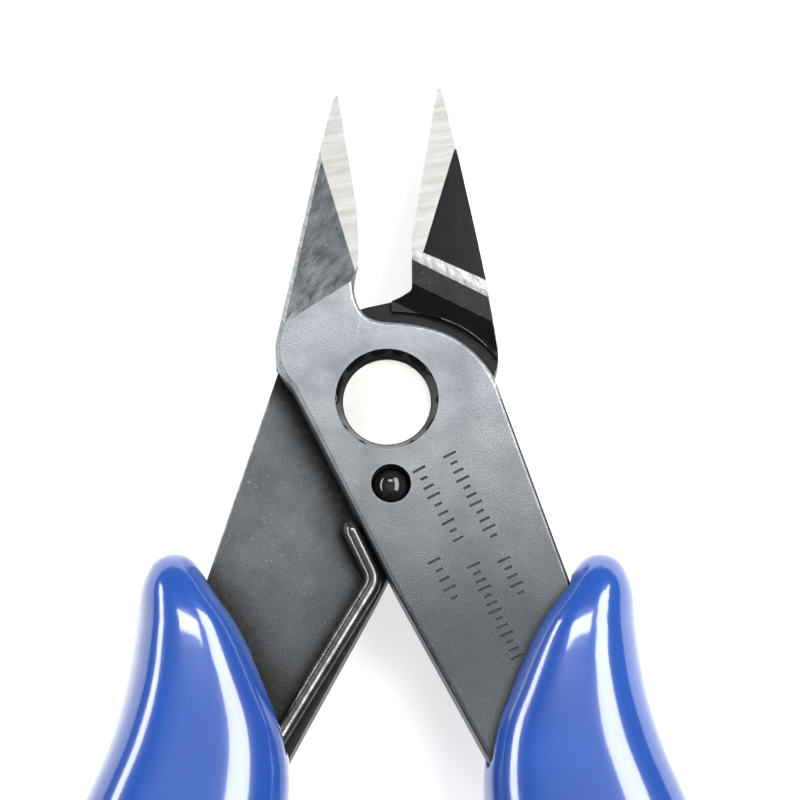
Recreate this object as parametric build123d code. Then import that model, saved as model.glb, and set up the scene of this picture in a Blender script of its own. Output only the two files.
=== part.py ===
from build123d import *
import math
import os

# Flush cutter, millimetres. Origin on the pivot axis at the back of the rear plate,
# +Y toward the jaw tips, +Z toward the side the ground flush faces look at, +X right.
# Drawn with the handles sprung open, each half turned by half the opening.

halfOpening = 8.25          # degrees each half is turned away from closed
plateThick = 2.48
plateGap = 0.04             # running gap between the two plates
frontBottom = plateThick + plateGap
frontTop = frontBottom + plateThick
bladeClearance = 0.02       # each cutting edge stays this far from the closed line

tipReach = {-1: 29.0, 1: 29.8}      # pivot to jaw tip, left and right
tipWidth = 0.4              # blunt end of each jaw
tipBack = 0.25              # its outer corner, back from the tip
edgeStart = {-1: 12.8, 1: 14.4}     # pivot to the start of the cutting edge
grindAngle = 21.0           # slope of the flush faces
grindStart = 10.9           # where the ground plane meets the front plate's face
bevelAngle = 50.0           # wedge between flush face and back bevel
bevelStart = 12.4           # pivot to the start of the back bevel
backSlope = 0.165           # slope of the underside of the jaws
backStart = 9.5
headClear = 0.3             # left jaw clear of the rear plate's head
shoulderGap = 1.5           # right jaw clear of the front plate's head
ledge = 0.35                # small step at the foot of the right jaw's ramp
ledgeLeft = 0.4             # its left end, clear of the front plate when closed
jawDepth = -6.0             # deeper than the underside of either jaw
leftJawFrom = 2.2           # the left jaw drops below the front plate from here on
rightJawFrom = 2.0          # the right jaw rises above the rear plate from here on
rightHeelFrom = (2.7, 8.0)  # and drops below it from here on

rivetSmall = 3.0            # radius of the rivet at the joint between the plates
rivetBack = 4.35            # radius of its back face
rivetRecess = 1.15          # front face lies this deep in the front plate
rivetRun = 0.05             # radial running clearance in the front plate

pinRadius = 1.66
pinSeat = 1.70
pinChamfer = 0.4
pinDrop = 0.04              # top of the pin's dome below the front plate's face
pinFloor = 0.08             # foot of the pin above the floor of its slot
pinAt = (0.35, -7.4)
slotClear = 0.1
slotFloor = 0.8
slotSpare = [0.4, 2.5]      # degrees of slot beyond the open and the closed position

wireRadius = 0.75
wireLift = 0.04             # wire above the rear plate's face
gripMiddle = 2.5
gripHalfHeight = 6.0

edgeRound = 0.4             # stamped edge of the plates
shoulderSlope = {-1: 21.9, 1: 21.3}     # fall of the jaws' front from their shoulders
shoulderAt = (-3.0, 10.34)              # a point on the left jaw's shoulder line
shoulderAcross = (-0.5477, 0.837)       # level direction straight down its fall
crestAt = (2.0, 13.2)                   # a point on the right jaw's crest line
crestAcross = (0.447, 0.894)            # level direction across it, towards the tip
crestAlong = (0.894, -0.447)
crestTop = 4.19             # shoulder of the right jaw
crestRound = 2.4
footTop = plateThick + ledge
rampSteps = [(-4.3, footTop), (-2.35, 3.8)]     # foot and knee of the right jaw's ramp, along it and up
coneSpread = 0.545          # countersink, radius per height
anchor = (-17.0, -47.0)     # spring hole in the left tang
wirePoints = [(-3.3, -10.5), (-1.0, -15.45), (-9.6, -30.0)]
wireRoom = [(-16.0, -48.6), (-18.6, -48.0), (-14.6, -31.0), (-12.5, -22.0), (-5.5, -24.0), (-8.6, -30.0)]

# grips: how far down the handle, inner side, outer side, half the height
gripStations = [
    (-13.1, 17.3, 18.7, 0.9),
    (-13.6, 16.5, 19.6, 1.9),
    (-14.6, 15.7, 20.3, 3.0),
    (-16.5, 14.6, 20.9, 4.2),
    (-20.0, 12.3, 21.2, 5.0),
    (-25.0, 10.1, 22.0, 5.7),
    (-30.0, 8.4, 23.5, 6.0),
    (-36.0, 8.3, 26.0, 6.1),
    (-44.0, 10.2, 28.9, 6.1),
    (-54.0, 13.8, 32.2, 6.0),
    (-64.0, 17.8, 35.5, 5.9),
    (-74.0, 21.4, 38.2, 5.8),
    (-84.0, 24.7, 39.9, 5.6),
    (-91.0, 27.6, 40.3, 5.2),
    (-95.5, 30.1, 39.8, 4.6),
    (-98.2, 32.4, 38.6, 3.1),
    (-99.4, 34.6, 36.8, 1.2),
]

os.makedirs("parts", exist_ok=True)


def turned(point, degrees):
    angle = math.radians(degrees)
    x = point[0] * math.cos(angle) - point[1] * math.sin(angle)
    y = point[0] * math.sin(angle) + point[1] * math.cos(angle)
    return (x, y)


def mirrored(points):
    return [(-x, y) for x, y in points]


def halfSpace(point, normal):
    # large block whose base lies on the plane, filling the side the normal points to
    plane = Plane(origin=point, z_dir=normal)
    return plane * Box(160, 160, 40, align=(Align.CENTER, Align.CENTER, Align.MIN))


def slab(edges, low, high):
    face = make_face(edges)
    return Pos(0, 0, low) * extrude(face, amount=high - low, dir=(0, 0, 1))


# outer side of each jaw and relief at the root of the left one's cutting edge
jawOuter = {-1: [(-9.45, 4.9), (-8.0, 11.9), (-6.13, 21.3)], 1: [(9.45, 4.9), (8.3, 11.3), (6.35, 21.3)]}
relief = [(-2.6, 18.0), (-2.46, 15.2), (-2.44, 12.4), (-2.66, 9.9)]

# the rest of the outline, drawn for the half whose tang is on the right
neckLeft = [(-9.45, 4.9), (-9.05, 2.6), (-8.0, 1.1)]
tangInner = [(-8.0, 1.1), (-2.55, -10.0), (1.0, -17.2), (9.1, -32.4)]
gripInner = [(9.1, -32.4), (12.6, -44.0), (20.0, -64.0), (26.9, -84.0)]
gripOuter = [(33.0, -84.0), (28.4, -64.0), (22.8, -44.0), (18.4, -28.0), (15.4, -15.7)]
frontHead = [(9.75, 0.1), (8.85, 2.3), (5.9, 5.35), (0.8, 6.75), (-1.7, 7.3), (-2.72, 9.2)]
rearHead = [(-9.3, 2.7), (-8.3, 4.7), (-5.4, 7.0), (-1.66, 8.7), (0.5, 9.2), (1.75, 9.75)]
rearCorner = [(1.75, 9.75), (2.04, 9.97), (2.12, 10.3)]
tangEnd = [(26.9, -84.0), (31.2, -88.6), (33.0, -84.0)]


def jawTip(side):
    inner = turned((side * bladeClearance, tipReach[side]), -side * halfOpening)
    outer = turned((side * (bladeClearance + tipWidth), tipReach[side] - tipBack), -side * halfOpening)
    return inner, outer


def cuttingStart(side):
    return turned((side * bladeClearance, edgeStart[side]), -side * halfOpening)


def tangEdges(side):
    # from the neck down one side of the tang, round its end and back up to the shoulder
    def place(points):
        return points if side < 0 else mirrored(points)

    edges = [Polyline(*place(tangInner))]
    edges.append(Spline(*place(gripInner)))
    edges.append(ThreePointArc(*place(tangEnd)))
    edges.append(Spline(*place(gripOuter)))
    return edges


def frontOutline():
    inner, outer = jawTip(-1)
    start = cuttingStart(-1)
    edges = [Line(inner, outer)]
    edges.append(Spline(outer, *reversed(jawOuter[-1])))
    edges.append(Spline(*neckLeft))
    edges += tangEdges(-1)
    edges.append(Line(gripOuter[-1], frontHead[0]))
    edges.append(Spline(*frontHead, start))
    edges.append(Line(start, inner))
    return edges


def rearOutline():
    inner, outer = jawTip(1)
    start = cuttingStart(1)
    edges = [Line(inner, outer)]
    edges.append(Spline(outer, *reversed(jawOuter[1])))
    edges.append(Spline(*mirrored(neckLeft)))
    edges += tangEdges(1)
    edges.append(Line(mirrored(gripOuter)[-1], rearHead[0]))
    edges.append(Spline(*rearHead))
    edges.append(ThreePointArc(*rearCorner))
    edges.append(Line(rearCorner[-1], start))
    edges.append(Line(start, inner))
    return edges


def keepBox(low, high):
    # axis-aligned block between two corners
    size = [b - a for a, b in zip(low, high)]
    middle = [(a + b) / 2 for a, b in zip(low, high)]
    return Pos(*middle) * Box(*size)


def grindCut(side):
    # the flush face: one plane across both jaws when the tool is closed
    slope = math.radians(grindAngle)
    start = turned((0, grindStart), -side * halfOpening)
    across = turned((0, math.sin(slope)), -side * halfOpening)
    return halfSpace((start[0], start[1], frontTop), (across[0], across[1], math.cos(slope)))


def bevelCut(side):
    # back bevel that makes the wedge under the flush face
    slope = math.radians(grindAngle)
    wedge = math.radians(bevelAngle)
    outward = -side * math.sin(wedge)
    down = math.cos(wedge)
    normal = (outward, -down * math.sin(slope), -down * math.cos(slope))
    runs = (0, math.cos(slope), -math.sin(slope))
    reach = tipReach[side] + 4 - bevelStart
    level = frontTop - (bevelStart - grindStart) * math.tan(slope)
    plane = Plane(origin=(side * bladeClearance, bevelStart, level), x_dir=runs, z_dir=normal)
    block = plane * Box(reach, 30, 20, align=(Align.MIN, Align.CENTER, Align.MIN))
    return Rot(0, 0, -side * halfOpening) * block


def backCut(side):
    # everything below the underside: flat at the pivot, sloping down under the jaws
    far = 40
    drop = -backSlope * (far - backStart)
    profile = Polyline((-60, 0), (backStart, 0), (far, drop), (far, -20), (-60, -20), (-60, 0))
    face = make_face(Plane.YZ * profile)
    block = extrude(face, amount=40, both=True)
    return Rot(0, 0, -side * halfOpening) * block


def softEdges(plate, level, side):
    # outline edges of one face, all but the cutting edge
    tip = Vector(*jawTip(side)[0], level)
    start = Vector(*cuttingStart(side), level)
    middle = (tip + start) / 2
    rim = [e for e in plate.edges() if abs(e.center().Z - level) < 0.01]
    return [e for e in rim if (e.center() - middle).length > 0.5]


def clearOf(head, gap, low, high):
    # the room one plate's rounded head needs, its edge moved away from the pivot by the gap
    grown = [tuple(Vector(*p) * (1 + gap / math.hypot(*p))) for p in head]
    first = (grown[0][0], -4.0)
    last = (grown[-1][0], -4.0)
    edges = [Spline(*grown), Polyline(grown[-1], last, first, grown[0])]
    return slab(edges, low, high)


def reliefCut():
    # hollow at the root of the left cutting edge, so the jaws meet at their tips first
    top, foot = relief[0], relief[-1]
    edges = [Spline(*relief), Polyline(foot, (2.0, foot[1]), (2.0, top[1]), top)]
    return slab(edges, -7, 7)


def frontBlade():
    plate = slab(frontOutline(), frontBottom, frontTop)
    plate = fillet(softEdges(plate, frontTop, -1), edgeRound)
    lower = slab(frontOutline(), jawDepth, frontBottom)
    lower &= keepBox((-12, leftJawFrom, jawDepth), (1.2, 40, frontBottom))
    lower -= clearOf(rearHead, headClear, jawDepth - 1, frontBottom)
    jaw = (plate + lower) - grindCut(-1)
    slope = math.radians(shoulderSlope[-1])
    normal = Vector(*shoulderAcross, 0) * math.sin(slope) + Vector(0, 0, math.cos(slope))
    jaw -= halfSpace((*shoulderAt, frontTop), normal)
    jaw -= backCut(-1)
    jaw -= bevelCut(-1)
    jaw -= reliefCut()
    jaw -= pivotCone(frontBottom, frontTop, rivetSmall + rivetRun)
    jaw -= Pos(*pinAt, 0) * Cylinder(pinSeat, 20)
    jaw -= Pos(*pinAt, frontTop) * Cone(pinSeat - pinChamfer, pinSeat + pinChamfer, 2 * pinChamfer)
    return jaw


def pivotCone(low, high, narrow):
    # countersunk hole of the front plate, narrow at the joint between the plates
    wide = narrow + (high - low) * coneSpread
    return Pos(0, 0, (low + high) / 2) * Cone(narrow, wide, high - low)


def rearCone():
    wide = rivetSmall + plateThick * coneSpread
    return Pos(0, 0, plateThick / 2) * Cone(wide, rivetSmall, plateThick)


def rampTop():
    # the right jaw rises in a ramp to a rounded shoulder and falls away to the tip
    plane = Plane(origin=(*crestAt, 0), x_dir=(*crestAcross, 0), z_dir=(*crestAlong, 0))
    near, far, high = -16, 24, 12
    falls = crestTop - far * math.tan(math.radians(shoulderSlope[1]))
    points = [(near, footTop), *rampSteps, (0, crestTop), (far, falls), (far, high), (near, high)]
    face = make_face(Polyline(*points, points[0]))
    crest = [v for v in face.vertices() if abs(v.X) < 0.01]
    face = fillet(crest, crestRound)
    return extrude(plane * face, amount=30, both=True)


def rearBlade():
    plate = slab(rearOutline(), 0, plateThick)
    plate = fillet(softEdges(plate, 0, 1), edgeRound)
    upper = slab(rearOutline(), plateThick, 6)
    upper &= keepBox((ledgeLeft, rightJawFrom, 0), (12, 40, 6))
    upper -= clearOf(frontHead, shoulderGap, plateThick, 7)
    upper -= rampTop()
    lower = slab(rearOutline(), jawDepth, plateThick)
    lower &= keepBox((*rightHeelFrom, jawDepth), (12, 40, plateThick))
    jaw = plate + upper + lower
    jaw -= rampTop() & keepBox((0.5, crestAt[1] - 0.7, 0), (12, 40, 12))
    jaw -= grindCut(1)
    jaw -= backCut(1)
    jaw -= bevelCut(1)
    jaw -= rearCone()
    jaw -= stopSlot()
    jaw -= Pos(anchor[0], anchor[1], 0) * Cylinder(wireRadius + 0.15, 20)
    return jaw


def stopSlot():
    # blind arc in the rear plate's face that the stop pin travels in
    reach = math.hypot(*pinAt)
    rest = math.degrees(math.atan2(pinAt[1], pinAt[0]))
    ends = [rest + slotSpare[0], rest - 2 * halfOpening - slotSpare[1]]
    half = pinRadius + slotClear
    depth = plateThick - slotFloor
    sector = Cylinder(reach + half, depth) - Cylinder(reach - half, depth)
    points = [(0, 0)] + [turned((16, 0), ends[0] - (ends[0] - ends[1]) * k / 2) for k in range(3)]
    sector &= extrude(make_face(Polyline(*points, (0, 0))), amount=depth, both=True)
    for angle in ends:
        x, y = turned((reach, 0), angle)
        sector += Pos(x, y, 0) * Cylinder(half, depth)
    return Pos(0, 0, slotFloor + depth / 2) * sector


def pivotRivet():
    back = Pos(0, 0, plateThick / 2) * Cone(rivetBack, rivetSmall, plateThick)
    high = frontTop - rivetRecess
    neck = Pos(0, 0, (plateThick + frontBottom) / 2) * Cylinder(rivetSmall, plateGap)
    wide = rivetSmall + (high - frontBottom) * coneSpread
    head = Pos(0, 0, (frontBottom + high) / 2) * Cone(rivetSmall, wide, high - frontBottom)
    return back + neck + head


def stopPin():
    low = slotFloor + pinFloor
    shoulder = frontTop - pinDrop - pinRadius
    shank = Pos(0, 0, (low + shoulder) / 2) * Cylinder(pinRadius, shoulder - low)
    dome = Pos(0, 0, shoulder) * Sphere(pinRadius)
    return Pos(*pinAt, 0) * (shank + dome)


def roundedPath(points, radii):
    # straight runs joined by tangent arcs
    edges = []
    last = Vector(*points[0])
    for before, corner, after, radius in zip(points, points[1:], points[2:], radii):
        corner = Vector(*corner)
        into = (corner - Vector(*before)).normalized()
        out = (Vector(*after) - corner).normalized()
        half = into.get_angle(out) / 2
        cut = radius * math.tan(math.radians(half))
        start = corner - into * cut
        end = corner + out * cut
        inward = (out - into).normalized()
        rise = radius / math.cos(math.radians(half)) - radius
        edges.append(Line(last, start))
        edges.append(ThreePointArc(start, corner + inward * rise, end))
        last = end
    edges.append(Line(last, Vector(*points[-1])))
    return Wire(edges)


def returnSpring():
    level = plateThick + wireLift + wireRadius
    points = [(x, y, level) for x, y in wirePoints] + [(anchor[0], anchor[1], level), (anchor[0], anchor[1], 0.3)]
    path = roundedPath(points, [1.7, 14.0, 0.85])
    section = Plane(origin=path @ 0, z_dir=path % 0) * Circle(wireRadius)
    return sweep(section, path)


def gripBody(side):
    sections = []
    for y, inner, outer, half in gripStations:
        middle = -side * (inner + outer) / 2
        plane = Plane(origin=(middle, y, gripMiddle), x_dir=(1, 0, 0), z_dir=(0, 1, 0))
        sections.append(plane * Ellipse((outer - inner) / 2, half))
    body = loft(sections)
    flat = keepBox((-60, -120, gripMiddle - gripHalfHeight), (60, 0, 20))
    return body & flat


def rightGrip():
    return gripBody(-1) - slab(frontOutline(), frontBottom, frontTop)


def leftGrip():
    pocket = slab(rearOutline(), 0, plateThick)
    room = slab(Polyline(*wireRoom, wireRoom[0]).edges(), plateThick, plateThick + 2 * wireRadius + 0.2)
    return gripBody(1) - pocket - room - Pos(anchor[0], anchor[1], 0.8) * Cylinder(wireRadius + 0.1, 1.6)


parts = {
    "front_blade": frontBlade,
    "rear_blade": rearBlade,
    "pivot_rivet": pivotRivet,
    "stop_pin": stopPin,
    "return_spring": returnSpring,
    "left_grip": leftGrip,
    "right_grip": rightGrip,
}

for name, build in parts.items():
    shape = build()
    print(name, round(shape.volume, 1))
    export_step(shape, "parts/" + name + ".step")
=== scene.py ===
import bpy
import bmesh
import math
from mathutils import Matrix, Vector


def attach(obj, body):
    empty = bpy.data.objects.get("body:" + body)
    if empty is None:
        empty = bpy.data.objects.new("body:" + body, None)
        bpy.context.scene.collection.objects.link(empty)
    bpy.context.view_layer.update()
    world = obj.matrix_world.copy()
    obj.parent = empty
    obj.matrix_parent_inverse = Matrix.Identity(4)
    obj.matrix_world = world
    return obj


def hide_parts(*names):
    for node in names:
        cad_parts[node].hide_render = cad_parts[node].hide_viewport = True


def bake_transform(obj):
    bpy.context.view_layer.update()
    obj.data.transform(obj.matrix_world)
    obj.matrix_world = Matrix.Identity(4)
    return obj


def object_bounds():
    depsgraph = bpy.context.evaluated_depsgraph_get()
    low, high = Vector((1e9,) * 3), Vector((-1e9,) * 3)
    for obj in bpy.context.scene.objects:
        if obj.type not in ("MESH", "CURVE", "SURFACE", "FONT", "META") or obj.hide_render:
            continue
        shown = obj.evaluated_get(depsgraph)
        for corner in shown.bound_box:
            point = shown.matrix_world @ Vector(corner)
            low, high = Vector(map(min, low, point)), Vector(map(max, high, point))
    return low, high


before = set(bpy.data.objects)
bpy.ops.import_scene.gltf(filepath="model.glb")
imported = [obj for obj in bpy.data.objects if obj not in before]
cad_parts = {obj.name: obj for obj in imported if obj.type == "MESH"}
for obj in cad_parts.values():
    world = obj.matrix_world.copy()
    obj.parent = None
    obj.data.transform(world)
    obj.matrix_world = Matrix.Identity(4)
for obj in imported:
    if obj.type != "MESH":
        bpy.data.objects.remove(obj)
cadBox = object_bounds()

mm = 0.001
halfOpening = 8.25      # degrees each half stands off the closed position
grindSlope = 21.0       # degrees the flush faces fall towards the tips

# camera over the handles' side, looking down at the head
view = {
    "target": (0.0, 0.0, 3.85),     # mm, the rivet's face
    "elevation": 75.0,
    "distance": 2500.0,             # mm
    "across": 67.8,                 # mm of the tool seen from side to side
    "sensor": 36.0,
    "clip": (0.01, 20.0),           # m
    "shiftX": 0.0163,
    "shiftY": 0.0028,
}

# studio: soft boxes by direction from straight up, degrees to the right and towards the tips
studio = {
    "floorHalf": 3.0,               # m
    "floorDrop": 0.15,              # mm below the tool's lowest point
    "floorTone": 0.5,
    "floorRough": 0.9,
    "floorGlow": 0.70,
    "skyTop": (1.0, 1.0, 1.0),
    "skyLow": (0.10, 0.105, 0.115),
    "skyStops": (0.72, 0.95),       # where the sky leaves its low and reaches its top colour
    "skyStrength": 0.6,
    # away and size in m, power in W
    "boxes": {
        "rightBox": {"right": 34, "ahead": 12, "away": 1.0, "size": (0.42, 1.5), "power": 20},
        "leftBox": {"right": -62, "ahead": 12, "away": 1.0, "size": (0.2, 1.3), "power": 8},
        "topBox": {"right": -3, "ahead": 33, "away": 1.2, "size": (0.5, 0.25), "power": 5},
    },
}


def newObject(name, data):
    made = bpy.data.objects.new(name, data)
    bpy.context.scene.collection.objects.link(made)
    return made


def settled(source, name):
    # a plain mesh of the object with its modifiers worked in, in place of the object
    graph = bpy.context.evaluated_depsgraph_get()
    graph.update()
    mesh = bpy.data.meshes.new_from_object(source.evaluated_get(graph))
    old = source.data
    bpy.data.objects.remove(source)
    if old.users == 0:
        bpy.data.meshes.remove(old)
    mesh.name = name
    return mesh


def makeCamera():
    data = bpy.data.cameras.new("benchCamera")
    camera = newObject("benchCamera", data)
    rise = math.radians(view["elevation"])
    back = Vector((0, -math.cos(rise), math.sin(rise)))
    camera.location = (Vector(view["target"]) + back * view["distance"]) * mm
    camera.rotation_mode = "QUATERNION"
    camera.rotation_quaternion = (-back).to_track_quat("-Z", "Y")
    data.sensor_width = view["sensor"]
    data.lens = view["sensor"] * view["distance"] / view["across"]
    data.clip_start, data.clip_end = view["clip"]
    data.shift_x = view["shiftX"]
    data.shift_y = view["shiftY"]
    bpy.context.scene.camera = camera


def softBox(name, box):
    side, ahead = math.radians(box["right"]), math.radians(box["ahead"])
    flat = math.cos(ahead)
    toward = Vector((math.sin(side) * flat, math.sin(ahead), math.cos(side) * flat))
    light = bpy.data.lights.new(name, "AREA")
    light.shape = "RECTANGLE"
    light.size, light.size_y = box["size"]
    light.energy = box["power"]
    lamp = newObject(name, light)
    lamp.location = toward * box["away"]
    lamp.rotation_mode = "QUATERNION"
    # the box's long side lies along the tool, its glowing face looks back at it
    sideways = Vector((0.0, 1.0, 0.0)).cross(toward).normalized()
    upright = toward.cross(sideways)
    lamp.rotation_quaternion = Matrix((sideways, upright, toward)).transposed().to_quaternion()


def makeStudio():
    half = studio["floorHalf"]
    low = cadBox[0].z - studio["floorDrop"] * mm
    mesh = bpy.data.meshes.new("floor")
    corners = [(-half, -half, low), (half, -half, low), (half, half, low), (-half, half, low)]
    mesh.from_pydata(corners, [], [(0, 1, 2, 3)])
    floor = newObject("floor", mesh)
    paint = bpy.data.materials.new("paleFloor")
    paint.use_nodes = True
    shader = paint.node_tree.nodes["Principled BSDF"]
    tone = studio["floorTone"]
    shader.inputs["Base Color"].default_value = (tone, tone, tone, 1)
    shader.inputs["Roughness"].default_value = studio["floorRough"]
    shader.inputs["Emission Color"].default_value = (1, 1, 1, 1)
    shader.inputs["Emission Strength"].default_value = studio["floorGlow"]
    mesh.materials.append(paint)

    sky = bpy.data.worlds.new("studioSky")
    sky.use_nodes = True
    nodes, links = sky.node_tree.nodes, sky.node_tree.links
    coordinates = nodes.new("ShaderNodeTexCoord")
    split = nodes.new("ShaderNodeSeparateXYZ")
    ramp = nodes.new("ShaderNodeValToRGB")
    links.new(coordinates.outputs["Generated"], split.inputs[0])
    links.new(split.outputs["Z"], ramp.inputs["Fac"])
    colours = (studio["skyLow"], studio["skyTop"])
    for stop, at, colour in zip(ramp.color_ramp.elements, studio["skyStops"], colours):
        stop.position = at
        stop.color = (*colour, 1)
    background = nodes["Background"]
    links.new(ramp.outputs["Color"], background.inputs["Color"])
    background.inputs["Strength"].default_value = studio["skyStrength"]
    bpy.context.scene.world = sky
    for name, box in studio["boxes"].items():
        softBox(name, box)
    bpy.context.scene.view_settings.view_transform = "Standard"


makeCamera()
makeStudio()
print("camera and studio ready")


# shader effects shared by several finishes

def newGroup(name, inputs, outputs):
    group = bpy.data.node_groups.new(name, "ShaderNodeTree")
    for label, kind, value in inputs:
        socket = group.interface.new_socket(
            name=label, in_out="INPUT", socket_type="NodeSocket" + kind)
        socket.default_value = value
    for label, kind in outputs:
        group.interface.new_socket(
            name=label, in_out="OUTPUT", socket_type="NodeSocket" + kind)
    start = group.nodes.new("NodeGroupInput")
    end = group.nodes.new("NodeGroupOutput")
    return group, start, end


def setSocket(links, socket, value):
    if isinstance(value, (int, float)):
        socket.default_value = value
    else:
        links.new(value, socket)


def mathNode(nodes, links, kind, first, second, clamp=False):
    node = nodes.new("ShaderNodeMath")
    node.operation = kind
    node.use_clamp = clamp
    for socket, value in zip(node.inputs, (first, second)):
        setSocket(links, socket, value)
    return node.outputs[0]


def noiseNode(nodes, links, vector, scale, detail, rough):
    node = nodes.new("ShaderNodeTexNoise")
    links.new(vector, node.inputs["Vector"])
    setSocket(links, node.inputs["Scale"], scale)
    node.inputs["Detail"].default_value = detail
    node.inputs["Roughness"].default_value = rough
    return node.outputs["Fac"]


def rangeNode(nodes, links, value, low, high, toLow=0.0, toHigh=1.0):
    node = nodes.new("ShaderNodeMapRange")
    links.new(value, node.inputs["Value"])
    ends = {"From Min": low, "From Max": high, "To Min": toLow, "To Max": toHigh}
    for label, number in ends.items():
        setSocket(links, node.inputs[label], number)
    return node.outputs["Result"]


def millimetres(nodes, links, turn=0.0, stretch=(1, 1, 1)):
    # object coordinates in millimetres, turned in the plate's plane and stretched
    coordinates = nodes.new("ShaderNodeTexCoord")
    mapping = nodes.new("ShaderNodeMapping")
    mapping.vector_type = "POINT"
    mapping.inputs["Rotation"].default_value = (0, 0, math.radians(turn))
    links.new(coordinates.outputs["Object"], mapping.inputs["Vector"])
    scaled = nodes.new("ShaderNodeVectorMath")
    scaled.operation = "MULTIPLY"
    links.new(mapping.outputs["Vector"], scaled.inputs[0])
    scaled.inputs[1].default_value = [1000 * s for s in stretch]    # m to mm
    return scaled.outputs["Vector"]


def steelGrain():
    # cloudy, pitted steel: a tone from 0 to 1, a height, and bright specks
    group, start, end = newGroup(
        "steelGrain",
        [("Vector", "Vector", (0, 0, 0)), ("Cloud Scale", "Float", 0.25),
         ("Pit Scale", "Float", 3.0), ("Pit Amount", "Float", 0.5)],
        [("Tone", "Float"), ("Height", "Float"), ("Specks", "Float")])
    nodes, links = group.nodes, group.links
    vector = start.outputs["Vector"]
    clouds = noiseNode(nodes, links, vector, start.outputs["Cloud Scale"], detail=5, rough=0.6)
    pits = noiseNode(nodes, links, vector, start.outputs["Pit Scale"], detail=3, rough=0.7)
    fine = noiseNode(nodes, links, vector, 7.0, detail=2, rough=0.5)
    pitDepth = rangeNode(nodes, links, pits, 0.42, 0.30)
    deep = mathNode(nodes, links, "MULTIPLY", pitDepth, start.outputs["Pit Amount"])
    spread = rangeNode(nodes, links, clouds, 0.3, 0.7)
    tone = mathNode(nodes, links, "SUBTRACT", spread, deep, clamp=True)
    texture = mathNode(nodes, links, "MULTIPLY", fine, 0.35)
    links.new(tone, end.inputs["Tone"])
    links.new(mathNode(nodes, links, "SUBTRACT", texture, deep), end.inputs["Height"])
    links.new(rangeNode(nodes, links, pits, 0.66, 0.72), end.inputs["Specks"])
    return group


def edgeWear():
    # 1 on worn edges, broken up by noise, 0 elsewhere
    group, start, end = newGroup(
        "edgeWear",
        [("Vector", "Vector", (0, 0, 0)), ("Width", "Float", 0.0004),
         ("Amount", "Float", 1.0)],
        [("Mask", "Float")])
    nodes, links = group.nodes, group.links
    bevel = nodes.new("ShaderNodeBevel")
    bevel.samples = 6
    links.new(start.outputs["Width"], bevel.inputs["Radius"])
    geometry = nodes.new("ShaderNodeNewGeometry")
    dot = nodes.new("ShaderNodeVectorMath")
    dot.operation = "DOT_PRODUCT"
    links.new(bevel.outputs["Normal"], dot.inputs[0])
    links.new(geometry.outputs["Normal"], dot.inputs[1])
    edge = rangeNode(nodes, links, dot.outputs["Value"], 0.995, 0.86)
    blotches = noiseNode(nodes, links, start.outputs["Vector"], 1.2, detail=5, rough=0.7)
    patches = rangeNode(nodes, links, blotches, 0.38, 0.62)
    worn = mathNode(nodes, links, "MULTIPLY", edge, patches)
    mask = mathNode(nodes, links, "MULTIPLY", worn, start.outputs["Amount"], clamp=True)
    links.new(mask, end.inputs["Mask"])
    return group


def creviceShade():
    # painted shade: 1 where walls and corners close in, 0 in the open
    group, start, end = newGroup(
        "creviceShade",
        [("Vector", "Vector", (0, 0, 0)), ("Reach", "Float", 0.0015),
         ("Amount", "Float", 1.0)],
        [("Mask", "Float")])
    nodes, links = group.nodes, group.links
    shade = nodes.new("ShaderNodeAmbientOcclusion")
    shade.samples = 8
    links.new(start.outputs["Reach"], shade.inputs["Distance"])
    closed = rangeNode(nodes, links, shade.outputs["AO"], 0.95, 0.7)
    blotches = noiseNode(nodes, links, start.outputs["Vector"], 1.6, detail=4, rough=0.6)
    patches = rangeNode(nodes, links, blotches, 0.2, 0.5, toLow=0.7)
    patchyShade = mathNode(nodes, links, "MULTIPLY", closed, patches)
    mask = mathNode(nodes, links, "MULTIPLY", patchyShade, start.outputs["Amount"], clamp=True)
    links.new(mask, end.inputs["Mask"])
    return group


def fadeAlongTool():
    # grows steadily from one place along the tool to another
    group, start, end = newGroup(
        "fadeAlongTool",
        [("Vector", "Vector", (0, 0, 0)), ("From", "Float", 0.0),
         ("To", "Float", -20.0), ("Amount", "Float", 0.5)],
        [("Mask", "Float")])
    nodes, links = group.nodes, group.links
    split = nodes.new("ShaderNodeSeparateXYZ")
    links.new(start.outputs["Vector"], split.inputs[0])
    along = rangeNode(
        nodes, links, split.outputs["Y"], start.outputs["From"], start.outputs["To"])
    mask = mathNode(nodes, links, "MULTIPLY", along, start.outputs["Amount"], clamp=True)
    links.new(mask, end.inputs["Mask"])
    return group


groups = {
    "steelGrain": steelGrain(),
    "edgeWear": edgeWear(),
    "creviceShade": creviceShade(),
    "fadeAlongTool": fadeAlongTool(),
}


def placeGroup(tree, name, values, vector):
    node = tree.nodes.new("ShaderNodeGroup")
    node.node_tree = groups[name]
    for label, value in values.items():
        node.inputs[label].default_value = value
    tree.links.new(vector, node.inputs["Vector"])
    return node


def mixColour(tree, factor, first, second):
    node = tree.nodes.new("ShaderNodeMix")
    node.data_type = "RGBA"
    colours = [s for s in node.inputs if s.type == "RGBA"]
    tree.links.new(factor, node.inputs["Factor"])
    for socket, value in zip(colours, (first, second)):
        if isinstance(value, tuple):
            socket.default_value = (*value, 1)
        else:
            tree.links.new(value, socket)
    return [s for s in node.outputs if s.type == "RGBA"][0]


def newFinish(name, settings):
    material = bpy.data.materials.new(name)
    material.use_nodes = True
    shader = material.node_tree.nodes["Principled BSDF"]
    for label, value in settings.items():
        shader.inputs[label].default_value = value
    return material, material.node_tree, shader


def addBump(nodes, links, shader, height, strength, reach):
    bump = nodes.new("ShaderNodeBump")
    bump.inputs["Strength"].default_value = strength
    bump.inputs["Distance"].default_value = reach
    links.new(height, bump.inputs["Height"])
    links.new(bump.outputs["Normal"], shader.inputs["Normal"])


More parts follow.
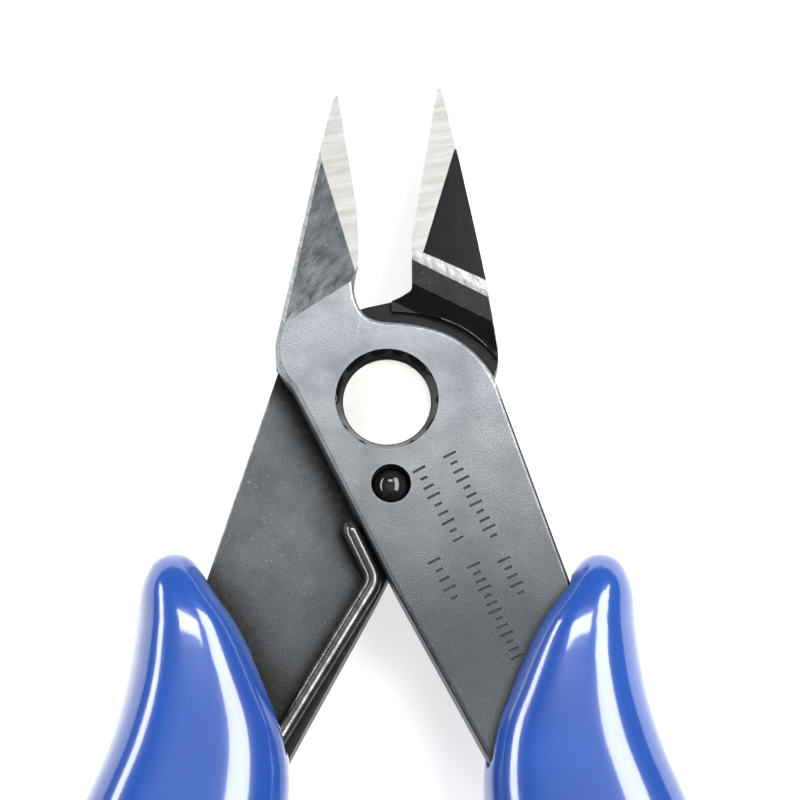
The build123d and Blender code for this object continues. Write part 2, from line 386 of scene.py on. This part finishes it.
def addRoughness(nodes, links, shader, tone, limits):
    # the light tones are the smoother ones
    low, high = limits
    links.new(rangeNode(nodes, links, tone, 0.0, 1.0, high, low), shader.inputs["Roughness"])


# near-black colour of the painted shade in gaps and corners
creviceShadeColour = (0.006, 0.006, 0.006)
steelBump = 0.12 * mm


def steelFinish(name, look):
    # stamped, blackened or ground steel from one dictionary of values
    material, tree, shader = newFinish(name, {"Metallic": look["metallic"]})
    nodes, links = tree.nodes, tree.links
    vector = millimetres(nodes, links, look.get("turn", 0), look.get("stretch", (1, 1, 1)))
    grain = placeGroup(tree, "steelGrain", {
        "Cloud Scale": look["cloud"], "Pit Scale": look["pit"],
        "Pit Amount": look["pitAmount"]}, vector)
    base = mixColour(tree, grain.outputs["Tone"], look["dark"], look["light"])
    base = mixColour(tree, grain.outputs["Specks"], base, look["speck"])
    if "wear" in look:
        width, amount = look["wear"]
        wear = placeGroup(tree, "edgeWear", {"Width": width * mm, "Amount": amount}, vector)
        base = mixColour(tree, wear.outputs["Mask"], base, look["worn"])
    # each fade darkens the steel along the tool towards the deep colour; on the front plate and in the
    # rear plate's gap this is painted shade
    for start, end, amount in look.get("fades", []):
        values = {"From": start, "To": end, "Amount": amount}
        tone = placeGroup(tree, "fadeAlongTool", values, vector)
        base = mixColour(tree, tone.outputs["Mask"], base, look["deep"])
    # painted shade in gaps and corners, darkening the steel towards near black
    if "paintedCreviceShade" in look:
        reach, amount = look["paintedCreviceShade"]
        paintedCreviceShade = placeGroup(tree, "creviceShade", {"Reach": reach * mm, "Amount": amount}, vector)
        base = mixColour(tree, paintedCreviceShade.outputs["Mask"], base, creviceShadeColour)
    links.new(base, shader.inputs["Base Color"])
    addRoughness(nodes, links, shader, grain.outputs["Tone"], look["rough"])
    addBump(nodes, links, shader, grain.outputs["Height"], look["bump"], steelBump)
    return material


# cloud and pit are grains per mm; wear is a width in mm and an amount, the painted shade in gaps and
# corners each of the fades runs from one mm along the tool to another, with an amount
steelLooks = {
    # the front plate's fade is painted shade, the face darker towards the grips; its shade in gaps and
    # corners is painted too
    "frontSteel": {
        "metallic": 0.75, "dark": (0.15, 0.163, 0.176), "light": (0.275, 0.29, 0.306),
        "speck": (0.36, 0.38, 0.4), "cloud": 0.2, "pit": 4.2, "pitAmount": 0.3,
        "rough": (0.34, 0.46), "bump": 0.5, "wear": (0.3, 0.5), "worn": (0.42, 0.44, 0.47),
        "paintedCreviceShade": (1.0, 0.45), "fades": [(1.0, -19.0, 0.85)], "deep": (0.03, 0.032, 0.036)},
    # the rear plate's fade from 0.5 to 3.5 mm is painted shade in the gap behind the front plate's head,
    # the other fade makes it darker towards the grips; its shade in gaps and corners is painted too
    "rearSteel": {
        "metallic": 0.7, "dark": (0.058, 0.063, 0.067), "light": (0.098, 0.105, 0.111),
        "speck": (0.3, 0.31, 0.32), "cloud": 0.28, "pit": 3.2, "pitAmount": 0.4,
        "rough": (0.38, 0.5), "bump": 0.5, "wear": (0.3, 0.9), "worn": (0.36, 0.38, 0.40),
        "paintedCreviceShade": (4.0, 1.0), "fades": [(-8.0, -28.0, 0.6), (0.5, 3.5, 0.9)],
        "deep": (0.012, 0.013, 0.015)},
    "slateSlope": {
        "metallic": 0.4, "dark": (0.03, 0.036, 0.040), "light": (0.15, 0.165, 0.175),
        "speck": (0.3, 0.32, 0.33), "cloud": 1.1, "pit": 2.4, "pitAmount": 0.5,
        "rough": (0.35, 0.5), "bump": 0.8, "wear": (0.15, 0.4), "worn": (0.3, 0.32, 0.33),
        "turn": 30, "stretch": (1.0, 0.45, 1.0)},
    # near-black steel: painted shade and a painted dark reflection
    "shadeBlackSteel": {
        "metallic": 0.6, "dark": (0.006, 0.006, 0.007), "light": (0.014, 0.014, 0.016),
        "speck": (0.03, 0.03, 0.03), "cloud": 0.5, "pit": 3.0, "pitAmount": 0.2,
        "rough": (0.16, 0.24), "bump": 0.12, "wear": (0.15, 0.3), "worn": (0.05, 0.05, 0.05)},
    # darker steel: painted half-shade on the rear jaw's curved step
    "halfShadeSteel": {
        "metallic": 0.7, "dark": (0.02, 0.022, 0.024), "light": (0.042, 0.045, 0.048),
        "speck": (0.2, 0.2, 0.2), "cloud": 0.5, "pit": 3.5, "pitAmount": 0.3,
        "rough": (0.34, 0.46), "bump": 0.3, "wear": (0.15, 0.3), "worn": (0.3, 0.3, 0.3)},
    # light steel: a painted highlight on the rear jaw's crest and on the jaws' rounded rims
    "highlightSteel": {
        "metallic": 0.4, "dark": (0.15, 0.155, 0.16), "light": (0.42, 0.425, 0.43),
        "speck": (0.6, 0.6, 0.6), "cloud": 1.2, "pit": 3.0, "pitAmount": 0.5,
        "rough": (0.3, 0.42), "bump": 0.5, "turn": -27, "stretch": (2.4, 0.7, 1.0)},
    "stampSteel": {
        "metallic": 0.5, "dark": (0.012, 0.013, 0.015), "light": (0.04, 0.043, 0.048),
        "speck": (0.1, 0.1, 0.1), "cloud": 0.8, "pit": 3.0, "pitAmount": 0.3,
        "rough": (0.35, 0.5), "bump": 0.3},
    "groundSteel": {
        "metallic": 0.3, "dark": (0.31, 0.305, 0.29), "light": (0.47, 0.465, 0.45),
        "speck": (0.5, 0.5, 0.48), "cloud": 0.6, "pit": 1.7, "pitAmount": 0.3,
        "rough": (0.4, 0.5), "bump": 0.35, "wear": (0.1, 0.2), "worn": (0.5, 0.5, 0.48),
        "turn": -12, "stretch": (0.22, 2.6, 1.0)},
    "rivetSteel": {
        "metallic": 0.5, "dark": (0.45, 0.447, 0.435), "light": (0.56, 0.556, 0.54),
        "speck": (0.62, 0.62, 0.6), "cloud": 0.3, "pit": 2.0, "pitAmount": 0.15,
        "rough": (0.35, 0.45), "bump": 0.15, "turn": 8, "stretch": (0.4, 2.0, 1.0)},
    "pinBlack": {
        "metallic": 0.0, "dark": (0.006, 0.006, 0.006), "light": (0.012, 0.012, 0.012),
        "speck": (0.02, 0.02, 0.02), "cloud": 0.8, "pit": 4.0, "pitAmount": 0.1,
        "rough": (0.06, 0.12), "bump": 0.05},
    "springWire": {
        "metallic": 0.9, "dark": (0.05, 0.047, 0.045), "light": (0.15, 0.145, 0.14),
        "speck": (0.3, 0.29, 0.28), "cloud": 0.4, "pit": 3.0, "pitAmount": 0.25,
        "rough": (0.18, 0.28), "bump": 0.08, "turn": -30, "stretch": (3.0, 0.3, 3.0)},
}
finishes = {name: steelFinish(name, look) for name, look in steelLooks.items()}


vinyl = {
    "blue": (0.017, 0.072, 0.32),
    "deep": (0.012, 0.052, 0.26),
    "rough": (0.16, 0.26),
    "coat": {"Coat Weight": 0.9, "Coat Roughness": 0.07, "Coat IOR": 1.6},
    "grain": {"Cloud Scale": 0.12, "Pit Scale": 1.6, "Pit Amount": 0.3},
    "waves": 0.35,          # per mm, soft unevenness of the moulded skin
    "bump": 0.05,
    "bumpReach": 0.2,       # mm
}


def vinylFinish():
    material, tree, shader = newFinish("blueVinyl", vinyl["coat"])
    nodes, links = tree.nodes, tree.links
    vector = millimetres(nodes, links)
    grain = placeGroup(tree, "steelGrain", vinyl["grain"], vector)
    base = mixColour(tree, grain.outputs["Tone"], vinyl["deep"], vinyl["blue"])
    links.new(base, shader.inputs["Base Color"])
    addRoughness(nodes, links, shader, grain.outputs["Tone"], vinyl["rough"])
    waves = noiseNode(nodes, links, vector, vinyl["waves"], detail=3, rough=0.5)
    addBump(nodes, links, shader, waves, vinyl["bump"], vinyl["bumpReach"] * mm)
    return material


finishes["blueVinyl"] = vinylFinish()
print("finishes ready")


# the two stamped plates, cut from the model's own solids

plate = {
    "sharpAngle": 28.0,     # degrees, corners sharper than this are broken
    "edge": 0.07,           # mm, broken edge
    "edgeSteps": 2,
    "shoulderRound": 0.4,   # mm, outer rim of the jaws' sloping sides
    "shoulderSteps": 4,
    "shoulderFrom": 4.5,    # mm out from the middle line
    "shoulderReach": {-1: (6.0, 22.0), 1: (3.5, 10.6)},     # mm past the pivot, left and right jaw
    "weld": 1e-7,           # m
}

# generic stamped strokes in the front plate, no lettering
stamp = {
    "face": 5.0,            # mm, the front plate's face
    "depth": 0.1,
    "length": 1.2,
    "width": 0.24,
    "lengths": (1.0, 0.55, 0.8),        # shares of the length, taken in turn
    # start, end and count of the long strokes in each row, mm
    "rows": [
        ((5.3, -4.9), (9.0, -12.0), 6),
        ((2.7, -6.2), (6.0, -12.3), 5),
        ((4.0, -14.2), (5.7, -17.4), 3),
        ((7.3, -14.6), (11.0, -22.6), 7),
        ((9.9, -14.1), (11.3, -17.0), 3),
    ],
}

# where each finish lies on the plates: mm from the pivot, and parts of the faces' normals
zone = {
    "flushMatch": 0.9995,
    "flushFrom": 10.0,
    "slopeFrom": 6.0,
    "slopeRise": (0.88, 0.96),
    "slopeAhead": 0.2,
    "sinkRadius": 5.1,
    "sinkRise": (0.1, 0.99),
    "stepFrom": 3.0,
    "stepRise": 0.8,
    "stepLevel": 2.84,
    "uphill": (0.447, 0.894, 0.0),      # across the right jaw's crest
    "wedgeLean": -0.3,
    "rampLean": -0.13,
    "stampBelow": -3.0,
    "stampRight": 2.2,
    "stampLevels": (4.6, 4.995),
    "stampFloor": 4.93,
    "stampRise": -0.5,
    "level": 0.01,
    "wallRise": 0.3,
}

# on both plates the dark finish is painted shade and dark reflection, the ramp finish painted half-shade
# and the crest finish a painted highlight
# the order of these is the order of the material slots
frontFinishes = {
    "face": "frontSteel", "flush": "groundSteel", "slope": "slateSlope",
    "dark": "shadeBlackSteel", "stamped": "stampSteel", "crest": "highlightSteel"}
# the rear jaw's slope takes the near-black finish, a painted dark reflection
rearFinishes = {
    "face": "rearSteel", "flush": "groundSteel", "slope": "shadeBlackSteel",
    "dark": "shadeBlackSteel", "ramp": "halfShadeSteel", "crest": "highlightSteel"}
slopingSlots = range(2, 6)      # all but the flat face and the flush face


def slopeNormal(side):
    # outward normal of a jaw's flush face, the half standing open
    slope, turn = math.radians(grindSlope), math.radians(-side * halfOpening)
    run = math.sin(slope)
    return Vector((-run * math.sin(turn), run * math.cos(turn), math.cos(slope)))


def markStrokes():
    made = bmesh.new()
    for first, last, count in stamp["rows"]:
        first, last = Vector((*first, stamp["face"])), Vector((*last, stamp["face"]))
        along = last - first
        turn = Matrix.Rotation(math.atan2(along.y, along.x) + math.pi / 2, 4, "Z")
        strokes = 2 * count - 1
        for step in range(strokes):
            at = Matrix.Translation(first.lerp(last, step / (strokes - 1)))
            length = stamp["length"] * stamp["lengths"][step % len(stamp["lengths"])]
            size = Matrix.Diagonal((length, stamp["width"], 2 * stamp["depth"], 1))
            bmesh.ops.create_cube(made, size=1.0, matrix=Matrix.Scale(mm, 4) @ at @ turn @ size)
    mesh = bpy.data.meshes.new("markStrokes")
    made.to_mesh(mesh)
    made.free()
    return newObject("markStrokes", mesh)


def weldedCopy(node):
    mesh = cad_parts[node].data.copy()
    made = bmesh.new()
    made.from_mesh(mesh)
    bmesh.ops.remove_doubles(made, verts=made.verts[:], dist=plate["weld"])
    made.to_mesh(mesh)
    made.free()
    return mesh


def cutAway(source, cutter):
    cut = source.modifiers.new("cut", "BOOLEAN")
    cut.operation = "DIFFERENCE"
    cut.solver = "MANIFOLD"
    cut.object = cutter
    mesh = settled(source, source.name)
    bpy.data.objects.remove(cutter)
    return newObject(mesh.name, mesh)


def markShoulderEdges(mesh, side):
    # the outer rim of each jaw's sloping side is rounded off more than the other edges
    made = bmesh.new()
    made.from_mesh(mesh)
    weight = made.edges.layers.float.new("bevel_weight_edge")
    low, high = plate["shoulderReach"][side]
    for edge in made.edges:
        if len(edge.link_faces) != 2:
            continue
        wall, slope = sorted(edge.link_faces, key=lambda face: abs(face.normal.z))
        middle = (edge.verts[0].co + edge.verts[1].co) / (2 * mm)
        upright = abs(wall.normal.z) < zone["wallRise"]
        sloping = slope.material_index in slopingSlots and slope.normal.z > zone["stepRise"]
        outside = side * middle.x > plate["shoulderFrom"] and low < middle.y < high
        if upright and sloping and outside:
            edge[weight] = 1.0
    made.to_mesh(mesh)
    made.free()


def within(value, limits):
    return limits[0] < value < limits[1]


def zoneName(face, side, flush):
    x, y, level = face.center / mm
    facing = face.normal
    if facing.dot(flush) > zone["flushMatch"] and y > zone["flushFrom"]:
        return "flush"
    ahead = y > zone["slopeFrom"] and facing.y > zone["slopeAhead"]
    if ahead and within(facing.z, zone["slopeRise"]):
        return "slope"
    # sloping walls round the pivot take the near-black finish, a painted shade
    if math.hypot(x, y) < zone["sinkRadius"] and within(facing.z, zone["sinkRise"]):
        return "dark"
    if side > 0:
        raised = level > zone["stepLevel"] and facing.z > zone["stepRise"]
        if y > zone["stepFrom"] and raised:
            # across the rear jaw's curved step the facing picks painted shade, painted half-shade or a
            # painted highlight
            lean = facing.dot(Vector(zone["uphill"]))
            return "dark" if lean < zone["wedgeLean"] else "ramp" if lean < zone["rampLean"] else "crest"
    elif y < zone["stampBelow"] and x > zone["stampRight"]:
        if within(level, zone["stampLevels"]) and facing.z > zone["stampRise"]:
            flat = math.hypot(facing.x, facing.y) < zone["level"]
            if flat or level < zone["stampFloor"]:
                return "stamped"
    return "face"


def bladePiece(name, node, side, names, cutter=None):
    source = newObject(name, weldedCopy(node))
    if cutter:
        source = cutAway(source, cutter)
    mesh = settled(source, name)
    mesh.materials.clear()
    for finish in names.values():
        mesh.materials.append(finishes[finish])
    slots = list(names)
    flush = slopeNormal(side)
    for face in mesh.polygons:
        face.material_index = slots.index(zoneName(face, side, flush))
    markShoulderEdges(mesh, side)
    mesh.shade_smooth()
    sharp = math.radians(plate["sharpAngle"])
    mesh.set_sharp_from_angle(angle=sharp)
    blade = newObject(name, mesh)
    shoulder = blade.modifiers.new("shoulderRound", "BEVEL")
    shoulder.width = plate["shoulderRound"] * mm
    shoulder.segments = plate["shoulderSteps"]
    shoulder.limit_method = "WEIGHT"
    # the rounded rim takes the crest finish, a painted highlight
    shoulder.material = slots.index("crest")
    bevel = blade.modifiers.new("brokenEdge", "BEVEL")
    bevel.width = plate["edge"] * mm
    bevel.segments = plate["edgeSteps"]
    bevel.limit_method = "ANGLE"
    bevel.angle_limit = sharp
    blade.modifiers.new("evenNormals", "WEIGHTED_NORMAL").keep_sharp = True
    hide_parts(node)
    return blade


def makeBlades():
    front = bladePiece("frontBlade", "front_blade", -1, frontFinishes, markStrokes())
    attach(front, "front_half")
    rear = bladePiece("rearBlade", "rear_blade", 1, rearFinishes)
    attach(rear, "rear_half")


makeBlades()
print("blades ready")


# rivet and stop pin: the model's own solids with their edges broken

smallParts = {
    "pivot_rivet": {"finish": "rivetSteel", "edge": 0.12},      # mm
    "stop_pin": {"finish": "pinBlack", "edge": 0.05},
}
smallPartAngle = 30.0
smallPartSteps = 3


def finishSmallPart(node, part):
    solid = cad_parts[node]
    solid.data.materials.clear()
    solid.data.materials.append(finishes[part["finish"]])
    bevel = solid.modifiers.new("brokenEdge", "BEVEL")
    bevel.width = part["edge"] * mm
    bevel.segments = smallPartSteps
    bevel.limit_method = "ANGLE"
    bevel.angle_limit = math.radians(smallPartAngle)


for node, part in smallParts.items():
    finishSmallPart(node, part)
print("rivet and pin ready")


# return spring: drawn wire, from its anchor in the left grip to its free end

spring = {
    "radius": 0.75,         # mm
    "level": 3.27,          # mm, centre of the wire above the back of the tool
    "points": [(-3.3, -10.5), (-1.0, -15.45), (-9.6, -30.0), (-17.0, -47.0)],
    "bends": [1.7, 14.0],   # mm, centre line radius at the two bends
    "bendSteps": 14,
    "ringEvery": 0.8,       # mm
    "sides": 28,
    "endRound": 0.12,       # mm
    "endSteps": 3,
    "flexStart": (-13.5, -39.0),
    "flexEnd": (-1.6, -16.0),
}


def roundedRun(points, radii, steps):
    # straight runs joined by tangent arcs, as a list of points
    run = [Vector((*points[0], 0))]
    for before, corner, after, radius in zip(points, points[1:], points[2:], radii):
        before, corner, after = (Vector((*p, 0)) for p in (before, corner, after))
        into, out = (corner - before).normalized(), (after - corner).normalized()
        half = into.angle(out) / 2
        cut = radius * math.tan(half)
        centre = corner + (out - into).normalized() * radius / math.cos(half)
        first = corner - into * cut - centre
        sweep = 2 * half * math.copysign(1, into.cross(out).z)
        for step in range(steps + 1):
            run.append(centre + Matrix.Rotation(sweep * step / steps, 3, "Z") @ first)
    run.append(Vector((*points[-1], 0)))
    return run


def centreLine():
    run = roundedRun(spring["points"], spring["bends"], spring["bendSteps"])
    dense = [run[0]]
    for first, last in zip(run, run[1:]):
        parts = max(1, int((last - first).length / spring["ringEvery"]))
        dense += [first.lerp(last, (k + 1) / parts) for k in range(parts)]
    return dense


def joinRings(made, rings):
    # side faces from ring to ring, and a cap at each end
    count = len(rings[0])
    for first, last in zip(rings, rings[1:]):
        for k in range(count):
            n = (k + 1) % count
            made.faces.new((first[k], first[n], last[n], last[k]))
    made.faces.new(reversed(rings[0]))
    made.faces.new(rings[-1])
    bmesh.ops.recalc_face_normals(made, faces=made.faces[:])


def makeSpring():
    line = centreLine()
    up = Vector((0, 0, 1))
    lift = up * spring["level"]
    sides, radius = spring["sides"], spring["radius"]
    made = bmesh.new()
    rings = []
    for index, point in enumerate(line):
        ahead = line[min(index + 1, len(line) - 1)] - line[max(index - 1, 0)]
        across = Vector((-ahead.y, ahead.x, 0)).normalized()
        ring = []
        for k in range(sides):
            angle = 2 * math.pi * k / sides
            offset = (across * math.cos(angle) + up * math.sin(angle)) * radius
            ring.append(made.verts.new((point + offset + lift) * mm))
        rings.append(ring)
    joinRings(made, rings)
    caps = [f for f in made.faces if len(f.verts) == sides]
    ends = [e for cap in caps for e in cap.edges]
    bmesh.ops.bevel(made, geom=ends, offset=spring["endRound"] * mm,
                    segments=spring["endSteps"], affect="EDGES")
    mesh = bpy.data.meshes.new("returnSpring")
    made.to_mesh(mesh)
    made.free()
    mesh.materials.append(finishes["springWire"])
    mesh.shade_smooth()
    wire = newObject("returnSpring", mesh)
    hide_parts("return_spring")
    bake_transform(wire)


makeSpring()
print("spring ready")


# moulded grips: a soft section that swells from the nose, cut out for the plate in it

grip = {
    "middle": 2.5,          # mm, height of the parting line
    "fullness": 2.35,       # 2 is an ellipse, more is squarer
    "ringSides": 64,
    "ringsBetween": 7,
    "lipGap": 0.14,         # mm round the plate at the mouth
    "voxel": 0.30,          # mm
    "smoothRounds": 6,
    "smoothShare": 0.5,
    "ridge": 0.10,          # mm, parting ridge on the outer side
    "ridgeReach": 0.35,     # mm up and down from the parting line
    "ridgeFacing": 0.6,
    # distance along the handle, inner side, outer side, half the height
    "stations": [
        (-13.1, 17.3, 18.7, 0.9), (-13.6, 16.5, 19.6, 1.9), (-14.6, 15.7, 20.3, 3.0),
        (-16.5, 14.6, 20.9, 4.2), (-20.0, 12.3, 21.2, 5.3), (-25.0, 10.1, 22.0, 5.8),
        (-30.0, 8.4, 23.5, 6.0), (-36.0, 8.3, 26.0, 6.1), (-44.0, 10.2, 28.9, 6.1),
        (-54.0, 13.8, 32.2, 6.0), (-64.0, 17.8, 35.5, 5.9), (-74.0, 21.4, 38.2, 5.8),
        (-84.0, 24.7, 39.9, 5.6), (-91.0, 27.6, 40.3, 5.2), (-95.5, 30.1, 39.8, 4.5),
        (-98.2, 32.4, 38.6, 3.1), (-99.4, 34.6, 36.8, 1.2)],
}

# space the spring needs inside the left grip, mm
wireSpace = {
    "low": 2.3,
    "high": 4.2,
    "outline": [
        (-16.0, -48.6), (-18.6, -48.0), (-14.6, -31.0), (-12.5, -22.0), (-5.5, -24.0), (-8.4, -30.0)],
}


def smoothThrough(stations, samples):
    # Catmull-Rom through the stations, each a tuple of numbers
    result = []
    last = len(stations) - 1
    for index in range(last):
        a, b = stations[max(index - 1, 0)], stations[index]
        c, d = stations[index + 1], stations[min(index + 2, last)]
        for step in range(samples):
            t = step / samples
            row = []
            for p, q, r, s in zip(a, b, c, d):
                row.append(0.5 * (2 * q + (r - p) * t + (2 * p - 5 * q + 4 * r - s) * t ** 2
                                  + (3 * q - p - 3 * r + s) * t ** 3))
            result.append(tuple(row))
    result.append(tuple(stations[-1]))
    return result


def softened(value):
    # a circle's sine or cosine pushed out to the grip's fuller section
    return math.copysign(abs(value) ** (2 / grip["fullness"]), value)


def gripSkin(name, side):
    # side is 1 for the left grip and -1 for the right one
    made = bmesh.new()
    count = grip["ringSides"]
    floor = cadBox[0].z / mm
    rings = []
    for y, inner, outer, tall in smoothThrough(grip["stations"], grip["ringsBetween"]):
        centre, wide = (inner + outer) / 2, (outer - inner) / 2
        ring = []
        for k in range(count):
            angle = 2 * math.pi * k / count
            x = centre + softened(math.cos(angle)) * wide
            z = max(grip["middle"] + softened(math.sin(angle)) * tall, floor)
            ring.append(made.verts.new((-side * x * mm, y * mm, z * mm)))
        rings.append(ring)
    joinRings(made, rings)
    mesh = bpy.data.meshes.new(name)
    made.to_mesh(mesh)
    made.free()
    return newObject(name, mesh)


def pushOut(mesh, distance):
    # moves every point along its normal; the normals are read before anything moves
    normals = [v.normal.copy() for v in mesh.vertices]
    for vert, normal in zip(mesh.vertices, normals):
        vert.co += normal * distance
    return mesh


def raiseRidge(mesh, side):
    normals = [v.normal.copy() for v in mesh.vertices]
    for vert, normal in zip(mesh.vertices, normals):
        outward = -side * normal.x
        if outward > grip["ridgeFacing"]:
            level = (vert.co.z / mm - grip["middle"]) / grip["ridgeReach"]
            vert.co.x -= side * grip["ridge"] * mm * math.exp(-level ** 2) * outward


def makeGrip(name, node, side, plateNode, body, room=None):
    skin = gripSkin(name, side)
    skin = cutAway(skin, newObject("fatPlate", pushOut(weldedCopy(plateNode), grip["lipGap"] * mm)))
    if room:
        skin = cutAway(skin, room)
    remesh = skin.modifiers.new("remesh", "REMESH")
    remesh.mode = "VOXEL"
    remesh.voxel_size = grip["voxel"] * mm
    smooth = skin.modifiers.new("smooth", "SMOOTH")
    smooth.iterations = grip["smoothRounds"]
    smooth.factor = grip["smoothShare"]
    mesh = settled(skin, name)
    raiseRidge(mesh, side)
    mesh.materials.clear()
    mesh.materials.append(finishes["blueVinyl"])
    mesh.shade_smooth()
    made = newObject(name, mesh)
    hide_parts(node)
    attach(made, body)
    print(name, len(mesh.vertices), "points")


def wireRoom():
    made = bmesh.new()
    rings = []
    for level in (wireSpace["low"], wireSpace["high"]):
        rings.append([made.verts.new((x * mm, y * mm, level * mm)) for x, y in wireSpace["outline"]])
    joinRings(made, rings)
    mesh = bpy.data.meshes.new("wireRoom")
    made.to_mesh(mesh)
    made.free()
    return newObject("wireRoom", mesh)


makeGrip("leftGrip", "left_grip", 1, "rear_blade", "rear_half", wireRoom())
makeGrip("rightGrip", "right_grip", -1, "front_blade", "front_half")
print("grips ready")
